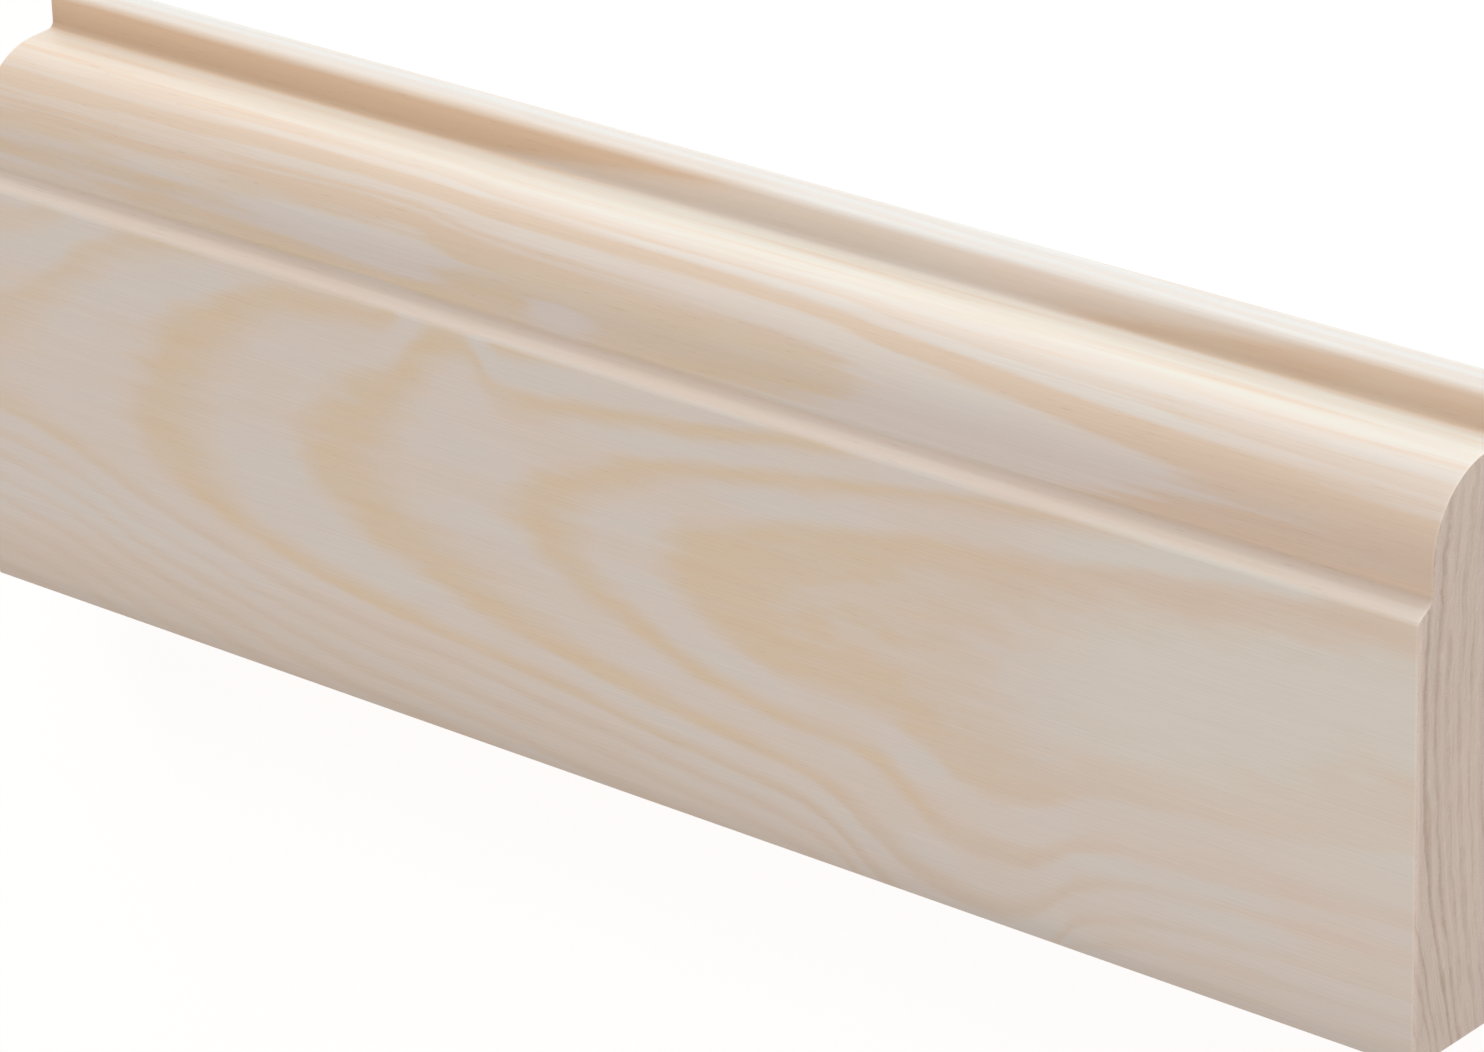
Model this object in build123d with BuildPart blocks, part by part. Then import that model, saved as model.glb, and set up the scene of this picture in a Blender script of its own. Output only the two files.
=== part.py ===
from build123d import *

import math
import os

# A short length of softwood architrave with a torus moulding, lying on its back with its face up.
# X runs along the grain, Y across the width from the thick edge to the lip, Z from the back to the face.
# The origin is the middle of the back. Sizes are in millimetres, angles in degrees.

# Overall sizes
LENGTH = 205.0
WIDTH = 69.0
THICKNESS = 20.0

# Lip: the thin band along the door side of the moulding
LIP_WIDTH = 4.3
LIP_THICKNESS = 5.0
LIP_ARRIS_RADIUS = 0.8
LIP_COVE_RADIUS = 0.8

# Torus: the round between the lip and the ledge. Its side leans in, and its top stops short of the face
TORUS_RADIUS = 9.5
TORUS_SIDE_LEAN = 3.0
TORUS_DROP = 2.5
TORUS_TOP_RUN = 3.7

# Ledge: the slope that steps up from the torus to the flat face
LEDGE_RUN = 1.4
LEDGE_COVE_RADIUS = 1.1
FACE_ARRIS_RADIUS = 0.8

# Thick edge: the outer side of the moulding
THICK_ARRIS_RADIUS = 0.4

# The torus side fills the height between the lip and the start of the round
round_rise = TORUS_RADIUS * (1 - math.sin(math.radians(TORUS_SIDE_LEAN)))
side_rise = THICKNESS - TORUS_DROP - round_rise - LIP_THICKNESS
side_length = side_rise / math.cos(math.radians(TORUS_SIDE_LEAN))


def round_corner(corner: Vector, radius: float) -> None:
    """Round the corner of the section that lies at a given point.

    Args:
        corner: where the corner is in the section's own plane.
        radius: radius of the round.
    """
    vertex = vertices().sort_by_distance(corner)[0]
    fillet(vertex, radius=radius)


# The section is drawn round from the back, then run along the grain to both sides of the middle
with BuildPart() as architrave:
    with BuildSketch(Plane.YZ):
        with BuildLine():
            back = Line((-WIDTH / 2, 0), (WIDTH / 2, 0))
            thin_edge = Line(back @ 1, back @ 1 + (0, LIP_THICKNESS))
            lip = Line(thin_edge @ 1, thin_edge @ 1 - (LIP_WIDTH, 0))
            torus_side = PolarLine(lip @ 1, side_length, 90 + TORUS_SIDE_LEAN)
            torus_round = JernArc(torus_side @ 1, torus_side % 1, TORUS_RADIUS, 90 - TORUS_SIDE_LEAN)
            torus_top = Line(torus_round @ 1, torus_round @ 1 - (TORUS_TOP_RUN, 0))
            ledge = Line(torus_top @ 1, torus_top @ 1 + (-LEDGE_RUN, TORUS_DROP))
            thick_edge = Line(back @ 0, back @ 0 + (0, THICKNESS))
            Line(thick_edge @ 1, ledge @ 1)
        make_face()
        round_corner(thick_edge @ 1, THICK_ARRIS_RADIUS)
        round_corner(ledge @ 1, FACE_ARRIS_RADIUS)
        round_corner(ledge @ 0, LEDGE_COVE_RADIUS)
        round_corner(lip @ 1, LIP_COVE_RADIUS)
        round_corner(lip @ 0, LIP_ARRIS_RADIUS)
    extrude(amount=LENGTH / 2, both=True)
architrave.part.label = "architrave"

os.makedirs("parts", exist_ok=True)
export_step(architrave.part, "parts/architrave.step")
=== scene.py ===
"""The looks of a short length of softwood architrave, lying on its back on a pale floor with its face up.

X runs along the grain, Y across the width from the thick edge to the lip, and Z from the back to the face,
as in the CAD model. Shapes are in metres. The grain is in millimetres: growth rings are a few millimetres
apart, and a height is measured across the width from the thick edge.
"""

import logging
import math
from collections.abc import Callable
from dataclasses import dataclass, field
from enum import Enum

import bmesh
import bpy
from mathutils import Matrix, Vector


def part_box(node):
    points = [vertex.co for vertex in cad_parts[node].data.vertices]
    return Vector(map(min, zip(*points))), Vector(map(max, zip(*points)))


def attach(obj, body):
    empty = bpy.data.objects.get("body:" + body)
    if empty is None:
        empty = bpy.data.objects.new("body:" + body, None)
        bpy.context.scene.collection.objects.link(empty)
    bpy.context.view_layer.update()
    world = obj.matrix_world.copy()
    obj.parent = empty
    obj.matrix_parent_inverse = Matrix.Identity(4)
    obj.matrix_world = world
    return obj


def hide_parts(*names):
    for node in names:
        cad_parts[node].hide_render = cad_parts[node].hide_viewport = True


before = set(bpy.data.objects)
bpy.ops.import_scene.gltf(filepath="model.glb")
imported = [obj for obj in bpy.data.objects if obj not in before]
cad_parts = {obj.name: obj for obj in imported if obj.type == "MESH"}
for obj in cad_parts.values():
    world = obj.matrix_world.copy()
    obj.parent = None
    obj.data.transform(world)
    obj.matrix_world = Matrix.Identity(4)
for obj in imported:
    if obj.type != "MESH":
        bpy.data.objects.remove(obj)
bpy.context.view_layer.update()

log = logging.getLogger("architrave")

NODE = "architrave"
MM = 0.001
HAIR = 0.01 * MM

# Points are a line: each a place and the line's height there. A span is where a change starts and ends, or
# a spot along the board and over its height. A streak is its length and width. A size is along the grain,
# across the width and in depth. A number is a signal or a plain number
Points = tuple[tuple[float, float], ...]
Span = tuple[float, float]
Streak = tuple[float, float]
Size = tuple[float, float, float]
Place = tuple[float, float, float]
Number = "Signal | float"
Colour = tuple[float, float, float]


class Cut(Enum):
    """How a surface of the wood was made, with its material slot on the piece."""

    PLANED = 0
    SAWN = 1


class Element(Enum):
    """What is picked in edit mode, with Blender's name for selecting it."""

    VERTICES = "VERT"
    EDGES = "EDGE"


@dataclass(frozen=True, eq=False)
class Signal:
    """A number that varies over the wood: one output of a node, with plain arithmetic."""

    graph: "Graph"
    socket: bpy.types.NodeSocket

    def __add__(self, other: Number) -> "Signal":
        """Sum."""
        return self.graph.math("ADD", self, other)

    def __sub__(self, other: Number) -> "Signal":
        """Difference."""
        return self.graph.math("SUBTRACT", self, other)

    def __rsub__(self, other: float) -> "Signal":
        """Difference with a plain number first."""
        return self.graph.math("SUBTRACT", other, self)

    def __mul__(self, other: Number) -> "Signal":
        """Product."""
        return self.graph.math("MULTIPLY", self, other)

    def __truediv__(self, other: Number) -> "Signal":
        """Quotient."""
        return self.graph.math("DIVIDE", self, other)

    __radd__ = __add__
    __rmul__ = __mul__

    def at_least(self, low: Number) -> "Signal":
        """The larger of the two."""
        return self.graph.math("MAXIMUM", self, low)

    def at_most(self, high: Number) -> "Signal":
        """The smaller of the two."""
        return self.graph.math("MINIMUM", self, high)

    def under(self, other: "Signal", blend: float) -> "Signal":
        """The smaller of the two, rounded where they are less than the blend apart."""
        return self.graph.math("SMOOTH_MIN", self, other, blend)

    def fraction(self) -> "Signal":
        """What is left over the whole number."""
        return self.graph.math("FRACT", self)

    def whole(self) -> "Signal":
        """The whole number below."""
        return self.graph.math("FLOOR", self)

    def size(self) -> "Signal":
        """The number without its sign."""
        return self.graph.math("ABSOLUTE", self)

    def squared(self) -> "Signal":
        """The square."""
        return self * self

    def decay(self) -> "Signal":
        """e to the power of minus this number."""
        return self.graph.math("EXPONENT", self * -1.0)

    def remap(self, low: Number, high: Number, first: float, last: float) -> "Signal":
        """Turns one range into another, with smooth ends.

        Args:
            low: where the change starts.
            high: where it ends.
            first: result up to low.
            last: result from high on.

        Returns:
            The result.
        """
        made = self.graph.node("ShaderNodeMapRange", interpolation_type="SMOOTHSTEP")
        for socket, number in zip(made.inputs, (self, low, high, first, last)):
            self.graph.feed(socket, number)
        return Signal(self.graph, made.outputs[0])

    def step(self, low: Number, high: Number) -> "Signal":
        """A smooth rise from 0 at low to 1 at high."""
        return self.remap(low, high, 0.0, 1.0)

    def fall(self, low: Number, high: Number) -> "Signal":
        """A smooth fall from 1 at low to 0 at high."""
        return 1.0 - self.step(low, high)

    def between(self, rise: Span, fall: Span) -> "Signal":
        """1 between a rise and a fall, 0 before and after them."""
        return self.step(*rise) * self.fall(*fall)

    def chance(self) -> "Signal":
        """A number from 0 to 1 that differs for each seed."""
        made = self.graph.node("ShaderNodeTexWhiteNoise", noise_dimensions="1D")
        self.graph.feed(made.inputs["W"], self)
        return Signal(self.graph, made.outputs[0])

    def curve(self, points: Points) -> "Signal":
        """A smooth line through a few points, read at this number.

        Args:
            points: each a value and the line's height there, the lowest value first.

        Returns:
            The line's height.
        """
        start, span = points[0][0], points[-1][0] - points[0][0]
        low = min(height for _, height in points)
        high = max(height for _, height in points)
        places = [((place - start) / span, (height - low) / (high - low)) for place, height in points]
        made = self.graph.node("ShaderNodeFloatCurve")
        line = made.mapping.curves[0]
        for place in places[1:-1]:
            line.points.new(*place)
        for point, place in zip(line.points, places):
            point.location = place
            point.handle_type = "AUTO_CLAMPED"
        made.mapping.update()
        self.graph.feed(made.inputs["Value"], (self - start) / span)
        return Signal(self.graph, made.outputs[0]) * (high - low) + low


@dataclass(frozen=True)
class Graph:
    """Writes the nodes of a material as formulas."""

    tree: bpy.types.NodeTree

    def node(self, kind: str, **settings: object) -> bpy.types.Node:
        """Adds a node.

        Args:
            kind: Blender's name for the kind of node.
            settings: the node's own properties.

        Returns:
            The new node.
        """
        made = self.tree.nodes.new(kind)
        for name, value in settings.items():
            setattr(made, name, value)
        return made

    def feed(self, socket: bpy.types.NodeSocket, value: object) -> None:
        """Links a signal or an output to an input, or sets the input's own value.

        Args:
            socket: the input.
            value: a Signal, an output of a node, or a plain value.
        """
        if isinstance(value, Signal):
            value = value.socket
        if isinstance(value, bpy.types.NodeSocket):
            self.tree.links.new(value, socket)
        else:
            socket.default_value = value

    def math(self, operation: str, *values: Number) -> Signal:
        """One step of arithmetic.

        Args:
            operation: Blender's name for it.
            values: its numbers, in order.

        Returns:
            The result.
        """
        made = self.node("ShaderNodeMath", operation=operation)
        for socket, value in zip(made.inputs, values):
            self.feed(socket, value)
        return Signal(self, made.outputs[0])

    def vector(self, x: Number, y: Number, z: Number) -> bpy.types.NodeSocket:
        """Three numbers as one vector."""
        made = self.node("ShaderNodeCombineXYZ")
        for socket, value in zip(made.inputs, (x, y, z)):
            self.feed(socket, value)
        return made.outputs[0]

    def noise(self, place: bpy.types.NodeSocket, detail: float = 2.0, roughness: float = 0.5) -> Signal:
        """Soft noise from -0.5 to 0.5, with lumps about one unit wide.

        Args:
            place: where in the noise.
            detail: how many finer layers it has.
            roughness: how strong the finer layers are.

        Returns:
            The noise.
        """
        made = self.node("ShaderNodeTexNoise", noise_dimensions="3D")
        self.feed(made.inputs["Vector"], place)
        self.feed(made.inputs["Scale"], 1.0)
        self.feed(made.inputs["Detail"], detail)
        self.feed(made.inputs["Roughness"], roughness)
        return Signal(self, made.outputs[0]) - 0.5

    def mix(self, factor: Number, first: object, second: object, blend: str = "MIX") -> bpy.types.NodeSocket:
        """Mixes two colours.

        Args:
            factor: 0 for the first, 1 for the second.
            first: a colour or an output.
            second: a colour or an output.
            blend: Blender's name for the way of mixing.

        Returns:
            The mixed colour's output.
        """
        made = self.node("ShaderNodeMix", data_type="RGBA", blend_type=blend)
        self.feed(made.inputs[0], factor)
        for socket, value in ((made.inputs[6], first), (made.inputs[7], second)):
            self.feed(socket, (*value, 1.0) if isinstance(value, tuple) else value)
        return made.outputs[2]


@dataclass(frozen=True)
class Wood:
    """Where a point is in the board, in millimetres, for one node tree."""

    graph: Graph
    along: Signal
    height: Signal
    depth: Signal
    thickness: float
    face_end: Span = (49.8, 51.8)
    ledge_from: Span = (49.5, 50.1)
    ledge_to: Span = (51.4, 51.8)
    back_from: Span = (1, 0.1)

    def face(self) -> Signal:
        """1 on the flat face, falling to 0 down the ledge."""
        return self.height.fall(*self.face_end)

    def ledge(self) -> Signal:
        """1 on the ledge, 0 on both sides of it."""
        return self.height.step(*self.ledge_from) - self.height.step(*self.ledge_to)

    def moulded(self) -> Signal:
        """1 on the moulded side, 0 on the back, with the change a little over the back."""
        start, end = self.back_from
        return self.depth.fall(self.thickness - start, self.thickness - end)

    def spot(self, place: Span, size: Span) -> Signal:
        """1 at a place along the board and over its height, falling to 0 round it."""
        along = ((self.along - place[0]) / size[0]).squared()
        return (along + ((self.height - place[1]) / size[1]).squared()).decay()

    def noise(self, size: Size, detail: float = 2.0, roughness: float = 0.5) -> Signal:
        """Soft noise from -0.5 to 0.5.

        Args:
            size: how large its lumps are along the grain, across the width and in depth.
            detail: how many finer layers it has.
            roughness: how strong the finer layers are.

        Returns:
            The noise.
        """
        length, width, depth = size
        place = self.graph.vector(self.along / length, self.height / width, self.depth / depth)
        return self.graph.noise(place, detail, roughness)

    def streaks(self, streak: Streak, detail: float = 2.0) -> Signal:
        """Noise drawn out along the grain, as wide in depth as across the width."""
        length, width = streak
        return self.noise((length, width, width), detail)


@dataclass(frozen=True)
class GrowthRings:
    """The growth rings of the board, as a ring number that rises by one with each ring towards the heart.

    The face was sawn flat, so the rings meet it in nested tongues that open to the near end. A ridge line
    gives the ring under the middle of the tongues. The lower flank gives where rings 1 to 4 run towards the
    thick edge, and the upper flank where they run out over the ledge. Each line is a few points, with a
    place along the board first.
    """

    # The ridge, which leans over a height, has two lobes low down and rises slowly in the heart
    ridge: Points = (
        (-102.5, 0.42), (-84, 0.64), (-73, 1), (-45.4, 2), (-15.4, 3), (8, 4), (23, 4.24), (42, 4.46),
        (62, 5.1), (102.5, 5.5),
    )
    ridge_height: float = 28.0
    ridge_lean: float = 0.35
    lobes: Points = (
        (-10, 0), (20, 0), (26, -0.7), (30, -1.4), (35, -0.7), (38, 0), (41, -0.6), (46, 0), (80, 0),
    )
    heart_ring: float = 4.0
    heart_growth: float = 0.36

    # The lower flank: the heights of rings 1 to 4, and the spacing below them
    low_lines: tuple[Points, ...] = (
        (
            (-102.5, 25), (-89, 22.6), (-80, 20), (-65, 16.6), (-46, 13.4), (-20, 11.2), (0, 9.1), (22, 6.6),
            (32, 1.5), (41, -3), (48, -4.5), (60, 3.6), (72, 6.6), (102.5, 8.1),
        ),
        (
            (-102.5, 28), (-80, 23.4), (-60, 20), (-40, 18.6), (-20, 15.6), (0, 12.7), (22, 10.2), (32, 6),
            (38, 3.2), (47, 2), (60, 8), (72, 10.6), (102.5, 12.4),
        ),
        (
            (-102.5, 34), (-48, 27), (-20, 24.2), (-10, 21.8), (0, 20), (10, 17.2), (18, 15.9), (30, 15.4),
            (37, 12), (42, 9), (49, 8.1), (55, 10), (64, 13.4), (79, 14.4), (102.5, 16.3),
        ),
        (
            (-102.5, 40), (-20, 30), (0, 25), (10, 21.6), (22, 19.8), (31, 20.1), (39, 17.3), (48, 14.9),
            (62, 19.0), (80, 21.4), (102.5, 25.7),
        ),
    )
    low_pitch: float = 2.9
    low_blend: float = 2.4

    # The upper flank: the height of one ring, and the spacing beside it
    high_ring: float = 3.0
    high_line: Points = (
        (-102.5, 4), (-90, 19), (-79, 29), (-65, 33.4), (-52, 37), (-38, 37.4), (-27, 44.5), (-19, 38),
        (-7.5, 39.5), (10, 42.7), (35, 46.5), (60, 50), (102.5, 56),
    )
    high_pitch: Points = (
        (-102.5, 10.8), (-90, 7.6), (-79, 6.5), (-52, 5.8), (-19, 6.0), (-7.5, 5.9), (10, 4.6), (35, 4.6),
        (60, 5.5), (102.5, 5.9),
    )
    high_blend: float = 1.8

    # The torus and the lip: the ring along the middle of the torus's flat top, and the spacings round it
    torus_ring: float = 4.0
    torus_line: Points = (
        (-102.5, 0.18), (-75, 0.12), (-62, -0.02), (-50, -0.12), (-38, -0.16), (-31, -0.04), (-24, 0.1),
        (0, 0.12), (14, 0.15), (23, 0.25), (33, 0.5), (60, 0.85), (91, 1.165), (102.5, 1.2),
    )
    torus_height: float = 56.3
    torus_depth: float = 2.79
    torus_pitch: float = 16.0
    torus_from: Span = (49.9, 51.7)
    torus_wave: float = 0.42
    torus_wave_size: Size = (38, 1.3, 2.6)

    # The swell on the torus, beside a knot
    swell_place: Span = (-13, 54)
    swell_size: Span = (5.8, 2.1)
    swell_rise: float = 0.6

    # Below the surface the pattern of the face calms down to a plain bow
    depth_pitch: float = 2.1
    calm_depth: float = 6.0
    heart_height: float = 36.0
    heart_width: float = 33.0
    heart_rise: float = 0.3

    # The unevenness of the grain, from long waves to single fibres
    wave: float = 1.2
    wave_size: Size = (24, 6, 6)
    ripple: float = 0.3
    ripple_size: Size = (9, 2.6, 2.6)
    fibre: float = 0.07
    fibre_size: Size = (5, 0.55, 0.55)
    fibre_roughness: float = 0.65

    def number(self, wood: Wood) -> Signal:
        """The ring number at a point.

        Args:
            wood: where the point is.

        Returns:
            The ring number.
        """
        height = wood.height + self.wave * wood.noise(self.wave_size, 3.0)
        line = wood.along.curve(self.torus_line) + self.torus_ring
        body = self.body(wood, height, line)
        torus = self.torus(wood, line)
        share = wood.height.step(*self.torus_from)
        ripple = self.ripple * wood.noise(self.ripple_size) * (1.0 - share)
        fibre = self.fibre * wood.noise(self.fibre_size, 3.0, self.fibre_roughness)
        return body + (torus - body) * share + (ripple + fibre)

    def body(self, wood: Wood, height: Signal, line: Signal) -> Signal:
        """The ring number under the flat face.

        Args:
            wood: where the point is.
            height: its height with the waves of the grain.
            line: the ring along the top of the torus.

        Returns:
            The ring number.
        """
        x = wood.along
        lean = self.ridge_lean * (height - self.ridge_height).at_least(0.0)
        ridge = (x - lean - height.curve(self.lobes)).curve(self.ridge)
        high = (x.curve(self.high_line) - height) / x.curve(self.high_pitch)
        face = ridge.under(self.low_flank(x, height), self.low_blend)
        face = face.under(high + self.high_ring, self.high_blend)
        face = face - (1.0 - self.heart_growth) * (face - self.heart_ring).at_least(0.0)
        edge = (self.torus_height - self.torus_from[0]) / self.torus_pitch
        edge = edge - self.torus_depth / self.depth_pitch
        bow = ((wood.height - self.heart_height) / self.heart_width).squared()
        heart = line + edge + self.heart_rise - bow
        calm = (wood.depth / self.calm_depth).decay()
        return heart + (face - heart) * calm + wood.depth / self.depth_pitch

    def low_flank(self, x: Signal, height: Signal) -> Signal:
        """The ring number on the side towards the thick edge.

        Args:
            x: place along the board.
            height: height with the waves of the grain.

        Returns:
            The ring number, which goes on rising above the last line.
        """
        lines = [x.curve(points) for points in self.low_lines]
        number = ((height - lines[0]) / self.low_pitch).at_most(0.0) + 1.0
        for lower, upper in zip(lines, lines[1:]):
            rise = ((height - lower) / (upper - lower)).at_least(0.0)
            number = number + (rise if upper is lines[-1] else rise.at_most(1.0))
        return number

    def torus(self, wood: Wood, line: Signal) -> Signal:
        """The ring number in the torus and the lip, with the swell.

        Args:
            wood: where the point is.
            line: the ring along the top of the torus.

        Returns:
            The ring number.
        """
        swell = wood.spot(self.swell_place, self.swell_size) * (wood.depth / self.calm_depth).decay()
        down = (wood.depth - self.torus_depth) / self.depth_pitch
        out = (wood.height - self.torus_height) / self.torus_pitch
        wave = self.torus_wave * wood.noise(self.torus_wave_size)
        return line + (down - out) + self.swell_rise * swell + wave


@dataclass(frozen=True)
class LateWood:
    """How much late wood shows on the planed faces, from 0 for early wood to 1.

    It is full where one ring ends and the next begins, and fades to both sides, more slowly towards the
    heart. A share is how far a point is through its ring, on the way to the heart. Some rings and places
    show less late wood, and some places are warm all over, as late wood is.
    """

    # The line of one ring: where it starts to rise before the ring's end, and how far it fades into the next
    outer: Span = (0.72, 0.7)
    outer_height: Span = (12, 24)
    outer_torus: float = 0.14
    inner: Span = (0.48, 0.42)
    inner_rings: Span = (0.6, 0.9)
    fade_rings: Span = (4.85, 5)
    fade_start: Span = (0.2, 0.32)
    fade_end: Span = (0.42, 0.62)

    # The faint place where ring 3 bends under the ledge
    bend_fade: float = 0.6
    bend_place: Span = (-22, 42)
    bend_size: Span = (4.5, 4)

    # A second, thinner line in the rings of the round, towards the far end
    false_amount: float = 0.75
    false_from: Span = (0.34, 0.44)
    false_to: Span = (0.46, 0.6)
    false_height: Span = (57, 58.5)
    false_along: Span = (-10, 25)
    false_rings: Span = (4.85, 4.95)

    # Strength over the ring number, along the board, in the heart of the tongues and from year to year
    strengths: Points = (
        (-8, 0.5), (-0.6, 0.42), (0, 0.55), (0.4, 0.6), (0.9, 0.76), (4.6, 0.78), (5.4, 0.95), (6.1, 0.3),
        (8.6, 0.14), (14, 0.2),
    )
    fading: Points = ((-102.5, 1), (-40, 1), (20, 1), (43, 0.95), (60, 0.65), (75, 0.45), (102.5, 0.4))
    fading_height: Span = (26, 34)
    heart_fade: float = 0.38
    heart_rings: Span = (4.14, 4.34)
    rim_fade: float = 0.4
    rim_rings: Span = (4.07, 4.13)
    rim_along: Span = (34, 50)
    year_fade: float = 0.75
    year_rings: Span = (-0.9, -0.5)
    clouding: float = 1.2
    cloud_streak: Streak = (16, 2.2)
    ledge_fade: float = 0.8

    # Pale streaks on the torus at the far end
    mottle_amount: float = 0.8
    mottle_streak: Streak = (26, 2.2)
    mottle_span: Span = (-0.06, 0.1)
    mottle_height: Span = (52, 53)
    mottle_along: Span = (-75, -48)

    # The tan of the lip, which runs out along two slanting lines
    lip_tan: Points = (
        (-145, 1), (-60, 0.95), (-38, 0.8), (-22, 0.22), (36, 0.18), (52, 0.6), (102.5, 0.65),
    )
    lip_slant: float = 9.0
    lip_from: float = 64.7
    lip_rise: Span = (64.5, 65)
    lip_depth: Span = (14, 14.6)
    lip_arris: Span = (67.8, 68.8)
    lip_arris_fade: float = 0.25
    outside_height: Span = (68.2, 69)
    outside_depth: Span = (14.6, 19)
    outside_fade: Span = (0.3, 1)
    stain_cloud: float = 0.4

    # Warmth over the height, over the round and along the thick edge
    warmth: Points = (
        (0, 0), (0.6, 0.1), (6, 0.04), (12, 0.04), (49.4, 0.04), (50.0, 0.5), (50.8, 0.6), (51.4, 0.75),
        (51.8, 0.12), (56, 0.05), (58.5, 0.14), (61, 0.18), (62.5, 0.15), (64.6, 0.08), (69, 0),
    )
    round_from: Span = (57, 60)
    round_to: Span = (64.7, 65)
    round_streaks: float = 0.45
    round_streak: Streak = (60, 1.2)
    round_span: Span = (0.02, 0.2)
    round_far: float = 0.36
    round_along: Span = (-85, 5)
    foot: float = 0.42
    foot_height: Span = (3, 14)
    foot_along: Span = (-40, 50)

    def amount(self, wood: Wood, ring: Signal) -> Signal:
        """How much late wood shows at a point.

        Args:
            wood: where the point is.
            ring: the ring number.

        Returns:
            From 0 for early wood to 1 for late wood.
        """
        cloud = 1.0 + self.clouding * wood.streaks(self.cloud_streak, 3.0)
        rings = self.band(wood, ring) + self.false_ring(wood, ring)
        rings = rings * self.strength(wood, ring) * cloud * (1.0 - self.mottle(wood))
        rings = rings * (1.0 - self.ledge_fade * wood.ledge())
        stain = self.lip_stain(wood) * ((1.0 - self.stain_cloud) + self.stain_cloud * cloud)
        return (rings + stain + self.warm(wood)).at_least(0.0).at_most(1.0)

    def band(self, wood: Wood, ring: Signal) -> Signal:
        """The line of a ring.

        Args:
            wood: where the point is.
            ring: the ring number.

        Returns:
            1 where the late wood is full, 0 between the lines.
        """
        share = ring.fraction()
        face = wood.face()
        first = ring.remap(*self.fade_rings, *self.fade_start)
        last = ring.remap(*self.fade_rings, *self.fade_end)
        inner = ring.remap(*self.inner_rings, *self.inner)
        outer = wood.height.remap(*self.outer_height, *self.outer)
        outer = outer + (1.0 - face) * self.outer_torus
        line = 1.0 - share.step(first - face * first, last + face * (inner - last)) + share.step(outer, 1.0)
        return line * (1.0 - self.bend_fade * wood.spot(self.bend_place, self.bend_size) * face)

    def false_ring(self, wood: Wood, ring: Signal) -> Signal:
        """The second line in the rings of the round."""
        share = ring.fraction()
        line = self.false_amount * (share.step(*self.false_from) - share.step(*self.false_to))
        line = line * wood.height.step(*self.false_height) * wood.along.fall(*self.false_along)
        return line * ring.fall(*self.false_rings)

    def strength(self, wood: Wood, ring: Signal) -> Signal:
        """How strong the lines are.

        Args:
            wood: where the point is.
            ring: the ring number.

        Returns:
            1 for a full line, 0 for none.
        """
        faded = (1.0 - wood.along.curve(self.fading)) * wood.height.fall(*self.fading_height)
        rim = self.rim_fade * ring.step(*self.rim_rings) * wood.along.fall(*self.rim_along)
        heart = (self.heart_fade * ring.step(*self.heart_rings) + rim) * wood.face()
        year = self.year_fade * (ring + 0.5).whole().chance() * ring.fall(*self.year_rings)
        return ring.curve(self.strengths) * (1.0 - faded) * (1.0 - heart) * (1.0 - year)

    def mottle(self, wood: Wood) -> Signal:
        """How much of the late wood the pale streaks take away."""
        patches = wood.streaks(self.mottle_streak).step(*self.mottle_span)
        place = wood.height.step(*self.mottle_height) * wood.along.fall(*self.mottle_along)
        return self.mottle_amount * patches * place

    def lip_stain(self, wood: Wood) -> Signal:
        """How tan the lip is.

        Args:
            wood: where the point is.

        Returns:
            0 for cream, 1 for tan.
        """
        slanted = wood.along - self.lip_slant * (wood.height - self.lip_from)
        outside = wood.depth.remap(*self.outside_depth, *self.outside_fade)
        outside = outside * wood.height.step(*self.outside_height)
        amount = slanted.curve(self.lip_tan) * wood.depth.step(*self.lip_depth) * (1.0 - outside)
        inside = wood.height.step(*self.lip_rise) - self.lip_arris_fade * wood.height.step(*self.lip_arris)
        return amount * inside * wood.moulded()

    def warm(self, wood: Wood) -> Signal:
        """How warm the wood is beside its rings.

        Args:
            wood: where the point is.

        Returns:
            0 for none, 1 for the colour of late wood.
        """
        rounded = wood.height.between(self.round_from, self.round_to)
        streaks = self.round_streaks * wood.streaks(self.round_streak).step(*self.round_span)
        rounded = rounded * (streaks + self.round_far * wood.along.fall(*self.round_along))
        foot = self.foot * wood.height.fall(*self.foot_height) * wood.along.fall(*self.foot_along)
        return (wood.height.curve(self.warmth) + rounded + foot) * wood.moulded()


# A colour's output, how light it is (1 for no change), the roughness and the relief
Looks = tuple[bpy.types.NodeSocket, Signal, Signal, Signal]


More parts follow.
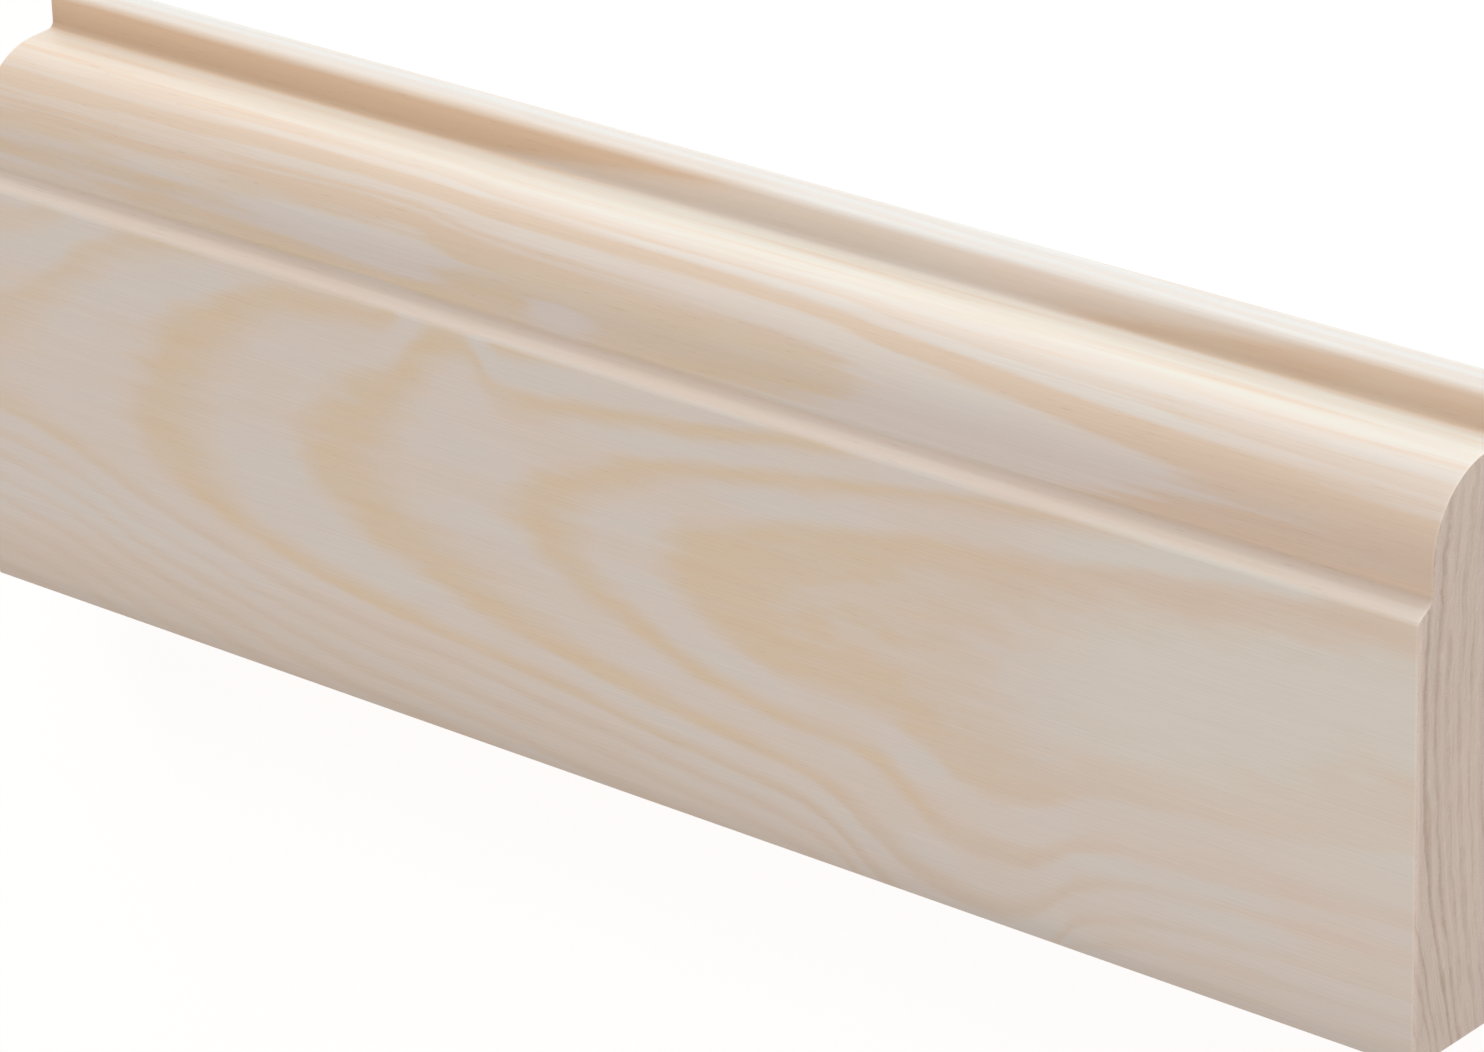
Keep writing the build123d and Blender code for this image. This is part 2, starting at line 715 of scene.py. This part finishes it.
@dataclass(frozen=True)
class Finish:
    """What the planed and the sawn faces share."""

    rings: GrowthRings
    thickness: float
    width: float
    name: str
    roughness: float
    relief_depth: float

    def wood(self, graph: Graph) -> Wood:
        """Reads where a point is in the board.

        Args:
            graph: the writer of the material's tree.

        Returns:
            The place, in millimetres.
        """
        place = graph.node("ShaderNodeTexCoord").outputs["Object"]
        parts = graph.node("ShaderNodeSeparateXYZ")
        graph.feed(parts.inputs[0], place)
        x, y, z = (Signal(graph, output) / MM for output in parts.outputs)
        return Wood(graph, x, y + self.width / 2, self.thickness - z, self.thickness)

    def looks(self, wood: Wood) -> Looks:
        """Each kind of finish says how it looks at a point."""
        raise NotImplementedError

    def material(self) -> bpy.types.Material:
        """Makes the material.

        Returns:
            The new material.
        """
        made = bpy.data.materials.new(self.name)
        made.use_nodes = True
        graph = Graph(made.node_tree)
        shader = made.node_tree.nodes["Principled BSDF"]
        colour, tone, roughness, relief = self.looks(self.wood(graph))
        toned = graph.mix(1.0, colour, graph.vector(tone, tone, tone), "MULTIPLY")
        graph.feed(shader.inputs["Base Color"], toned)
        graph.feed(shader.inputs["Roughness"], roughness)
        bump = graph.node("ShaderNodeBump")
        graph.feed(bump.inputs["Distance"], self.relief_depth)
        graph.feed(bump.inputs["Height"], relief)
        graph.feed(shader.inputs["Normal"], bump.outputs[0])
        return made


@dataclass(frozen=True)
class PlanedPine(Finish):
    """Pale softwood straight from the planer: cream early wood, tan late wood, matt, with fine fibres."""

    name: str = "planed_pine"
    roughness: float = 0.5
    relief_depth: float = 0.03 * MM
    late_wood: LateWood = LateWood()

    # Early wood: rosy and cool streaks, with its own colour in the heart, on the torus and on the lip's side
    rosy: Colour = (0.92, 0.814, 0.727)
    cool: Colour = (0.9, 0.842, 0.777)
    cool_streak: Streak = (34, 7)
    cool_span: Span = (-0.14, 0.14)
    mint: Colour = (0.92, 0.875, 0.79)
    mint_along: Span = (45, 70)
    mint_height: Span = (16, 26)
    cream: Colour = (0.92, 0.883, 0.795)
    cream_from: Span = (63.5, 64.2)
    cream_to: Span = (64.6, 64.8)
    lilac: Colour = (0.895, 0.815, 0.765)
    lilac_share: float = 0.7
    lilac_from: Span = (51.6, 52.2)
    lilac_to: Span = (56, 59)
    pale: Colour = (0.90, 0.875, 0.835)
    pale_from: Span = (68.5, 69)

    # Late wood, from the thick edge to the lip, and from the far end to the near one
    dull: Colour = (0.875, 0.735, 0.60)
    late: Colour = (0.915, 0.737, 0.527)
    pink: Colour = (0.905, 0.727, 0.577)
    blush: Colour = (0.92, 0.735, 0.605)
    honey: Colour = (0.905, 0.74, 0.555)
    rose: Colour = (0.885, 0.70, 0.55)
    peach: Colour = (0.885, 0.70, 0.545)
    umber: Colour = (0.81, 0.585, 0.405)
    near_end: Span = (20, 75)
    clear_rings: Span = (0.1, 0.9)
    clear_low: Span = (5, 14)
    clear_high: Span = (14, 22)
    peach_from: Span = (57, 59.5)
    umber_from: Span = (64.5, 64.9)

    # Painted shade in the corners and along the arrises and painted highlights on the torus side and along
    # the lip's arris, over the height, and a painted highlight along the sawn ends
    shade_and_highlight_tones: Points = (
        (0, 1.0), (0.6, 0.85), (2, 0.905), (5, 0.955), (10, 0.99), (16, 1.0), (49.2, 1.0), (49.9, 0.92),
        (50.4, 0.9), (50.7, 0.86), (51.0, 0.77), (51.4, 0.77), (51.8, 0.87), (52.3, 0.95), (58, 0.94),
        (61, 0.955), (62.5, 0.96), (64.5, 1.05), (65.0, 0.88), (66, 0.92), (66.6, 0.95), (67.4, 1.02),
        (68.1, 1.06), (68.6, 1.05), (69, 0.96),
    )
    arris_highlight_tone: float = 0.06
    arris_highlight_from: Span = (102.1, 102.35)

    # Fibres, streaks and resin canals
    fibre_streak: Streak = (9, 0.26)
    fibre_tone: float = 0.06
    fibre_gloss: float = 0.14
    late_gloss: float = 0.07
    tone_streak: Streak = (40, 1.3)
    streak_tone: float = 0.05
    canal_streak: Streak = (2.6, 0.13)
    canal_span: Span = (0.17, 0.26)
    canal_tone: float = 0.1
    canal_early: float = 0.2

    def looks(self, wood: Wood) -> Looks:
        """How planed wood looks at a point.

        Args:
            wood: where the point is.

        Returns:
            Colour, tone, roughness and relief.
        """
        ring = self.rings.number(wood)
        late = self.late_wood.amount(wood, ring)
        colour = wood.graph.mix(late, self.early_colour(wood), self.late_colour(wood, ring))
        fibres = wood.streaks(self.fibre_streak, 3.0)
        canals = self.canal_tone * wood.streaks(self.canal_streak, 1.0).step(*self.canal_span)
        # Painted shade and highlights: darker in the corners and along the arrises, lighter on the torus
        # side and the lip's arris
        edge = (wood.height.curve(self.shade_and_highlight_tones) - 1.0) * wood.moulded() + 1.0
        # Painted highlight: the planed faces lighter along the arrises of the sawn ends
        line_wear_and_end_highlight = self.arris_highlight_tone * wood.along.size().step(*self.arris_highlight_from)
        tone = 1.0 + self.fibre_tone * fibres + self.streak_tone * wood.streaks(self.tone_streak)
        tone = tone * edge + line_wear_and_end_highlight - canals * (late + self.canal_early)
        roughness = self.roughness + self.fibre_gloss * fibres - self.late_gloss * late
        return colour, tone, roughness, fibres

    def early_colour(self, wood: Wood) -> bpy.types.NodeSocket:
        """The colour of early wood.

        Args:
            wood: where the point is.

        Returns:
            The colour's output.
        """
        graph = wood.graph
        tint = wood.streaks(self.cool_streak).step(*self.cool_span)
        colour = graph.mix(tint, self.rosy, self.cool)
        island = wood.along.step(*self.mint_along) * wood.height.step(*self.mint_height) * wood.face()
        colour = graph.mix(island, colour, self.mint)
        side = wood.height.between(self.cream_from, self.cream_to)
        colour = graph.mix(side, colour, self.cream)
        top = wood.height.between(self.lilac_from, self.lilac_to)
        colour = graph.mix(self.lilac_share * top, colour, self.lilac)
        return graph.mix(wood.height.step(*self.pale_from), colour, self.pale)

    def late_colour(self, wood: Wood, ring: Signal) -> bpy.types.NodeSocket:
        """The colour of late wood on the face, the ledge, the torus and the lip.

        Args:
            wood: where the point is.
            ring: the ring number.

        Returns:
            The colour's output.
        """
        graph = wood.graph
        near = wood.along.step(*self.near_end)
        clear = ring.step(*self.clear_rings) * wood.height.step(*self.clear_low)
        clear = clear.at_least(wood.height.step(*self.clear_high))
        face = graph.mix(clear, self.dull, graph.mix(near, self.late, self.pink))
        top = graph.mix(near, self.honey, self.rose)
        torus = graph.mix(wood.height.step(*self.peach_from), top, self.peach)
        colour = graph.mix(wood.ledge(), graph.mix(wood.face(), torus, face), self.blush)
        return graph.mix(wood.height.step(*self.umber_from), colour, self.umber)


@dataclass(frozen=True)
class SawnPine(Finish):
    """The cut ends: grey-pink end grain with a dark line for each ring, finer lines and saw marks.

    How long a lump is along the grain doesn't show on a cut end.
    """

    name: str = "sawn_pine"
    roughness: float = 0.7
    relief_depth: float = 0.06 * MM
    cell_gloss: float = 0.2

    # Colours, with broad patches of two kinds of early wood
    early: Colour = (0.72, 0.598, 0.522)
    blush: Colour = (0.715, 0.608, 0.53)
    late: Colour = (0.50, 0.385, 0.305)
    blush_size: Size = (1, 5, 3)
    blush_span: Span = (-0.15, 0.15)

    # Ring lines: they drift, each year has its own strength, and one ring is darker
    drift: float = 0.9
    drift_size: Size = (1, 9, 2.2)
    line_inner: Span = (0, 0.42)
    line_outer: Span = (0.66, 1)
    year_least: float = 0.1
    year_spread: float = 0.44
    dark_ring: float = 5.0
    dark_amount: float = 0.4
    dark_span: Span = (0.3, 0.5)
    worn_size: Size = (1, 5, 1.4)

    # Hair lines between them, cells and rays
    hair_lines: float = 2.7
    hair_span: Span = (0.1, 0.8)
    hair_amount: float = 0.12
    hair_spread: float = 0.8
    hair_size: Size = (1, 6, 1.1)
    cell_amount: float = 0.4
    cell_size: Size = (1, 0.16, 0.13)
    cell_roughness: float = 0.6
    ray_amount: float = 0.5
    ray_size: Size = (1, 0.22, 1.6)

    # Tones: saw marks, open cells, light chips, a painted highlight along the rim of the face and painted
    # shade at the foot
    saw_angle: float = math.radians(24.0)
    saw_length: float = 9.0
    saw_width: float = 0.2
    kerf_tone: float = 0.12
    kerf_relief: float = 0.6
    cell_tone: float = 0.14
    pit_tone: float = 0.22
    pit_span: Span = (0.16, 0.26)
    chip_tone: float = 0.12
    chip_size: Size = (1, 1.3, 0.3)
    chip_span: Span = (0.2, 0.27)
    rim_highlight_tone: float = 0.15
    rim_highlight_depth: Span = (0.2, 1)
    foot_tone: float = 0.05
    foot_height: Span = (2, 18)

    def looks(self, wood: Wood) -> Looks:
        """How sawn wood looks at a point.

        Args:
            wood: where the point is.

        Returns:
            Colour, tone, roughness and relief.
        """
        cells = wood.noise(self.cell_size, 2.0, self.cell_roughness)
        kerf = self.saw_marks(wood)
        patch = wood.noise(self.blush_size).step(*self.blush_span)
        early = wood.graph.mix(patch, self.early, self.blush)
        colour = wood.graph.mix(self.lines(wood, cells), early, self.late)
        chips = wood.noise(self.chip_size, 1.0).step(*self.chip_span)
        tone = 1.0 + self.kerf_tone * kerf + self.cell_tone * cells + self.chip_tone * chips
        # Painted highlight: the end lighter along its rim at the face
        tone = tone + self.rim_highlight_tone * wood.depth.fall(*self.rim_highlight_depth)
        tone = tone - self.pit_tone * cells.step(*self.pit_span)
        tone = tone - self.foot_tone * wood.height.fall(*self.foot_height)
        return colour, tone, self.roughness + self.cell_gloss * cells, cells + self.kerf_relief * kerf

    def lines(self, wood: Wood, cells: Signal) -> Signal:
        """How much late wood shows: ring lines, hair lines between them and dark cells.

        Args:
            wood: where the point is.
            cells: the noise of the cells.

        Returns:
            From 0 for early wood to 1 for late wood.
        """
        ring = self.rings.number(wood) + self.drift * wood.noise(self.drift_size, 3.0)
        share = ring.fraction()
        line = 1.0 - share.step(*self.line_inner) + share.step(*self.line_outer)
        year = self.year_least + self.year_spread * (ring + 0.5).whole().chance().squared()
        year = year + self.dark_amount * (ring - self.dark_ring).size().fall(*self.dark_span)
        line_wear_and_end_highlight = year + wood.noise(self.worn_size) + self.ray_amount * wood.noise(self.ray_size)
        hair = (ring * self.hair_lines).fraction().fall(*self.hair_span)
        faint = self.hair_amount + self.hair_spread * wood.noise(self.hair_size)
        return (line * line_wear_and_end_highlight + hair * faint + self.cell_amount * cells).at_least(0.0).at_most(1.0)

    def saw_marks(self, wood: Wood) -> Signal:
        """The straight scratches that the saw's teeth leave across the end."""
        run = wood.height * math.cos(self.saw_angle) + wood.depth * math.sin(self.saw_angle)
        over = wood.depth * math.cos(self.saw_angle) - wood.height * math.sin(self.saw_angle)
        place = wood.graph.vector(wood.along, run / self.saw_length, over / self.saw_width)
        return wood.graph.noise(place)


@dataclass
class Section:
    """The moulded section, in metres. It repeats the sizes of the CAD model's own section."""

    width: float
    thickness: float
    lip_width: float = 4.3 * MM
    lip_thickness: float = 5.0 * MM
    lip_arris: float = 0.8 * MM
    lip_cove: float = 0.8 * MM
    torus_radius: float = 9.5 * MM
    side_lean: float = math.radians(3.0)
    torus_drop: float = 2.5 * MM
    torus_top_run: float = 3.7 * MM
    ledge_run: float = 1.4 * MM
    ledge_cove: float = 1.1 * MM
    face_arris: float = 0.8 * MM
    thick_arris: float = 0.4 * MM

    @property
    def torus_top(self) -> float:
        """Height of the torus over the back."""
        return self.thickness - self.torus_drop

    @property
    def lip_edge(self) -> float:
        """Place across the width where the lip meets the torus."""
        return self.width / 2 - self.lip_width

    @property
    def side_run(self) -> float:
        """How far the torus side leans in from the lip to the corner that the round replaces."""
        return (self.torus_top - self.lip_thickness) * math.tan(self.side_lean)

    @property
    def torus_tangent(self) -> float:
        """Distance from that corner to the ends of the round."""
        return self.torus_radius * math.tan((math.pi / 2 - self.side_lean) / 2)

    @property
    def ledge_foot(self) -> float:
        """Place across the width where the torus meets the ledge."""
        return self.lip_edge - self.side_run - self.torus_tangent - self.torus_top_run

    @property
    def ledge_top(self) -> float:
        """Place across the width where the ledge meets the flat face."""
        return self.ledge_foot - self.ledge_run


@dataclass
class Architrave:
    """The length of moulded softwood, drawn as its section and run along the grain."""

    section: Section
    length: float
    finishes: dict[Cut, Finish]
    end_arris: float = 0.15 * MM
    cell: float = 0.6 * MM
    long_edge: float = 1.5 * MM
    cuts_along: tuple[int, ...] = (100, 1)
    smooth_angle: float = math.radians(25.0)
    name: str = "moulded_stock"
    piece: bpy.types.Object | None = field(default=None, init=False)

    def build(self) -> None:
        """Models the piece, dresses it and sets it in the frame."""
        self.draw_section()
        self.round_corners()
        self.run_along_grain()
        self.dress()
        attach(self.piece, "root")
        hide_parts(NODE)
        log.info("%s: %d faces", self.name, len(self.piece.data.polygons))

    def pick(self, kind: Element, test: Callable[[object], bool]) -> None:
        """Selects what passes a test in edit mode, and nothing else.

        Args:
            kind: vertices or edges.
            test: takes one vertex or edge.
        """
        bpy.ops.mesh.select_mode(type=kind.value)
        bpy.ops.mesh.select_all(action="DESELECT")
        mesh = bmesh.from_edit_mesh(self.piece.data)
        for item in mesh.verts if kind is Element.VERTICES else mesh.edges:
            if test(item):
                item.select_set(True)
        mesh.select_flush_mode()
        bmesh.update_edit_mesh(self.piece.data)

    @staticmethod
    def near(vertex: bmesh.types.BMVert, y: float, z: float) -> bool:
        """Whether a vertex lies at a place of the section."""
        return abs(vertex.co.y - y) < HAIR and abs(vertex.co.z - z) < HAIR

    @staticmethod
    def ends(first: Vector, last: Vector) -> set[tuple[float, ...]]:
        """The two ends of an edge in the section's plane, in rounded millimetres."""
        return {tuple(round(number / MM, 3) for number in point) for point in (first, last)}

    def raise_edge(self, right: float, bottom: float, top: float, lean: float) -> None:
        """Raises the top edge of the section left of a place, and leans its right side in.

        Args:
            right: place across the width where the raised part starts.
            bottom: height of the edge that is raised.
            top: height that it is raised to.
            lean: how far the raised part's right corner moves in.
        """
        bpy.ops.mesh.select_all(action="SELECT")
        bpy.ops.mesh.bisect(plane_co=(0, right, 0), plane_no=(0, 1, 0))
        self.pick(
            Element.EDGES,
            lambda edge: all(abs(v.co.z - bottom) < HAIR and v.co.y < right + HAIR for v in edge.verts),
        )
        bpy.ops.mesh.extrude_region_move(TRANSFORM_OT_translate={"value": (0, 0, top - bottom)})
        self.pick(Element.VERTICES, lambda vertex: self.near(vertex, right, top))
        bpy.ops.transform.translate(value=(0, -lean, 0))

    def draw_section(self) -> None:
        """Draws the section with sharp corners, as one flat face across the left end."""
        cut = self.section
        bpy.ops.object.select_all(action="DESELECT")
        bpy.ops.mesh.primitive_plane_add(
            size=1, location=(-self.length / 2, 0, cut.lip_thickness / 2), rotation=(0, math.pi / 2, 0)
        )
        self.piece = bpy.context.object
        self.piece.name = self.name
        self.piece.scale = (cut.lip_thickness, cut.width, 1)
        bpy.ops.object.transform_apply(location=True, rotation=True, scale=True)
        bpy.ops.object.mode_set(mode="EDIT")
        self.raise_edge(cut.lip_edge, cut.lip_thickness, cut.torus_top, cut.side_run)
        self.raise_edge(cut.ledge_foot, cut.torus_top, cut.thickness, cut.ledge_run)
        bpy.ops.mesh.select_all(action="SELECT")
        bpy.ops.mesh.dissolve_limited(angle_limit=math.radians(1))
        bpy.ops.object.mode_set(mode="OBJECT")

    def round_corners(self) -> None:
        """Rounds the corners of the section, the largest first."""
        cut = self.section
        ledge = math.atan2(cut.torus_drop, cut.ledge_run)
        upright = math.pi / 2
        corners = (
            (cut.lip_edge - cut.side_run, cut.torus_top, cut.torus_radius, upright - cut.side_lean, 26),
            (cut.ledge_top, cut.thickness, cut.face_arris, ledge, 6),
            (cut.ledge_foot, cut.torus_top, cut.ledge_cove, ledge, 7),
            (cut.lip_edge, cut.lip_thickness, cut.lip_cove, upright - cut.side_lean, 6),
            (cut.width / 2, cut.lip_thickness, cut.lip_arris, upright, 6),
            (-cut.width / 2, cut.thickness, cut.thick_arris, upright, 5),
        )
        bpy.ops.object.mode_set(mode="EDIT")
        for y, z, radius, turn, steps in corners:
            self.pick(Element.VERTICES, lambda vertex: self.near(vertex, y, z))
            tangent = radius * math.tan(turn / 2)
            bpy.ops.mesh.bevel(
                affect="VERTICES", offset_type="OFFSET", offset=tangent, segments=steps, profile=0.5
            )
        bpy.ops.object.mode_set(mode="OBJECT")

    def run_along_grain(self) -> None:
        """Runs the section along the grain, eases the sawn ends and divides the skin into small cells."""
        bpy.ops.object.mode_set(mode="EDIT")
        bpy.ops.mesh.select_all(action="SELECT")
        bpy.ops.mesh.extrude_region_move(TRANSFORM_OT_translate={"value": (self.length, 0, 0)})
        bpy.ops.mesh.select_all(action="SELECT")
        bpy.ops.mesh.normals_make_consistent(inside=False)
        self.divide_outline()
        half = self.length / 2 - HAIR
        self.pick(
            Element.EDGES,
            lambda edge: all(v.co.x > half for v in edge.verts) or all(v.co.x < -half for v in edge.verts),
        )
        bpy.ops.mesh.bevel(
            affect="EDGES", offset_type="OFFSET", offset=self.end_arris, segments=2, profile=0.5
        )
        for cuts in self.cuts_along:
            self.pick(
                Element.EDGES,
                lambda edge: abs(edge.verts[0].co.x - edge.verts[1].co.x) > self.long_edge,
            )
            bpy.ops.mesh.subdivide(number_cuts=cuts)
        bpy.ops.object.mode_set(mode="OBJECT")

    def divide_outline(self) -> None:
        """Divides each long stretch of the outline, on both ends at once, so that the skin stays a grid."""
        mesh = bmesh.from_edit_mesh(self.piece.data)
        half = self.length / 2 - HAIR
        stretches = [
            (edge.verts[0].co.yz, edge.verts[1].co.yz, edge.calc_length())
            for edge in mesh.edges
            if all(v.co.x > half for v in edge.verts) and edge.calc_length() > 1.5 * self.cell
        ]
        for first, last, length in stretches:
            ends = self.ends(first, last)
            self.pick(Element.EDGES, lambda edge: self.ends(*(v.co.yz for v in edge.verts)) == ends)
            bpy.ops.mesh.subdivide(number_cuts=max(1, round(length / self.cell) - 1))

    def dress(self) -> None:
        """Gives the planed faces and the sawn ends their finishes, and smooths the rounds."""
        for cut in Cut:
            self.piece.data.materials.append(self.finishes[cut].material())
        end = self.length / 2 - 0.5 * self.end_arris
        for face in self.piece.data.polygons:
            sawn = all(abs(self.piece.data.vertices[index].co.x) > end for index in face.vertices)
            face.material_index = (Cut.SAWN if sawn else Cut.PLANED).value
        bpy.ops.object.select_all(action="DESELECT")
        self.piece.select_set(True)
        bpy.context.view_layer.objects.active = self.piece
        bpy.ops.object.shade_smooth_by_angle(angle=self.smooth_angle)


@dataclass
class Studio:
    """A pale floor, soft light from the lip side and from above, and the camera."""

    centre: Vector
    floor_size: float = 6.0
    lens: float = 168.89
    eye: Place = (0.46004, 0.30435, 0.53438)
    target: Place = (0.01468, 0.00275, 0.02000)
    roll: float = math.radians(-1.719)
    sensor_width: float = 36.0
    floor_grey: float = 0.35
    floor_glow: float = 0.78
    floor_roughness: float = 0.9
    room_colour: Colour = (1.0, 0.9, 0.85)
    room_strength: float = 0.55
    key_place: Place = (0.1, 1.25, 0.64)
    key_size: float = 1.1
    key_power: float = 7.0
    key_colour: Colour = (0.78, 0.93, 1.0)

    def build(self) -> None:
        """Sets up the floor, the light and the camera."""
        self.lay_floor()
        self.light_room()
        self.hang_key()
        self.place_camera()

    def lay_floor(self) -> None:
        """Lays a large pale floor, lit a little from below as a light table is."""
        bpy.ops.object.select_all(action="DESELECT")
        bpy.ops.mesh.primitive_plane_add(size=self.floor_size, location=(0, 0, 0))
        floor = bpy.context.object
        floor.name = "floor"
        material = bpy.data.materials.new("pale_floor")
        material.use_nodes = True
        shader = material.node_tree.nodes["Principled BSDF"]
        shader.inputs["Base Color"].default_value = (self.floor_grey, self.floor_grey, self.floor_grey, 1)
        shader.inputs["Roughness"].default_value = self.floor_roughness
        shader.inputs["Emission Color"].default_value = (1, 1, 1, 1)
        shader.inputs["Emission Strength"].default_value = self.floor_glow
        floor.data.materials.append(material)

    def light_room(self) -> None:
        """Lights the whole room evenly."""
        world = bpy.data.worlds.new("room")
        world.use_nodes = True
        background = world.node_tree.nodes["Background"]
        background.inputs["Color"].default_value = (*self.room_colour, 1)
        background.inputs["Strength"].default_value = self.room_strength
        bpy.context.scene.world = world
        bpy.context.scene.view_settings.view_transform = "Standard"

    def hang_key(self) -> None:
        """Hangs a soft square light that looks at the middle of the board."""
        bpy.ops.object.select_all(action="DESELECT")
        bpy.ops.object.light_add(type="AREA", location=self.key_place)
        light = bpy.context.object
        light.name = "key"
        light.rotation_euler = (self.centre - Vector(self.key_place)).to_track_quat("-Z", "Y").to_euler()
        light.data.size = self.key_size
        light.data.energy = self.key_power
        light.data.color = self.key_colour

    def place_camera(self) -> None:
        """Places the camera at the photograph's angle."""
        data = bpy.data.cameras.new("camera")
        data.lens = self.lens
        data.sensor_width = self.sensor_width
        camera = bpy.data.objects.new("camera", data)
        bpy.context.scene.collection.objects.link(camera)
        back = (Vector(self.eye) - Vector(self.target)).normalized()
        right = Vector((0, 1, 0)).cross(back).normalized()
        up = back.cross(right)
        basis = Matrix((right, up, back)).transposed() @ Matrix.Rotation(self.roll, 3, "Z")
        camera.matrix_world = Matrix.Translation(Vector(self.eye)) @ basis.to_4x4()
        bpy.context.scene.camera = camera


def main() -> None:
    """Builds the architrave in its studio."""
    logging.basicConfig(level=logging.INFO, format="%(name)s: %(message)s")
    low, high = (Vector(corner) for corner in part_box(NODE))
    length, width, thickness = high - low
    stock = {"rings": GrowthRings(), "thickness": thickness / MM, "width": width / MM}
    finishes = {Cut.PLANED: PlanedPine(**stock), Cut.SAWN: SawnPine(**stock)}
    Architrave(section=Section(width=width, thickness=thickness), length=length, finishes=finishes).build()
    Studio(centre=(low + high) / 2).build()


if __name__ == "__main__":
    main()
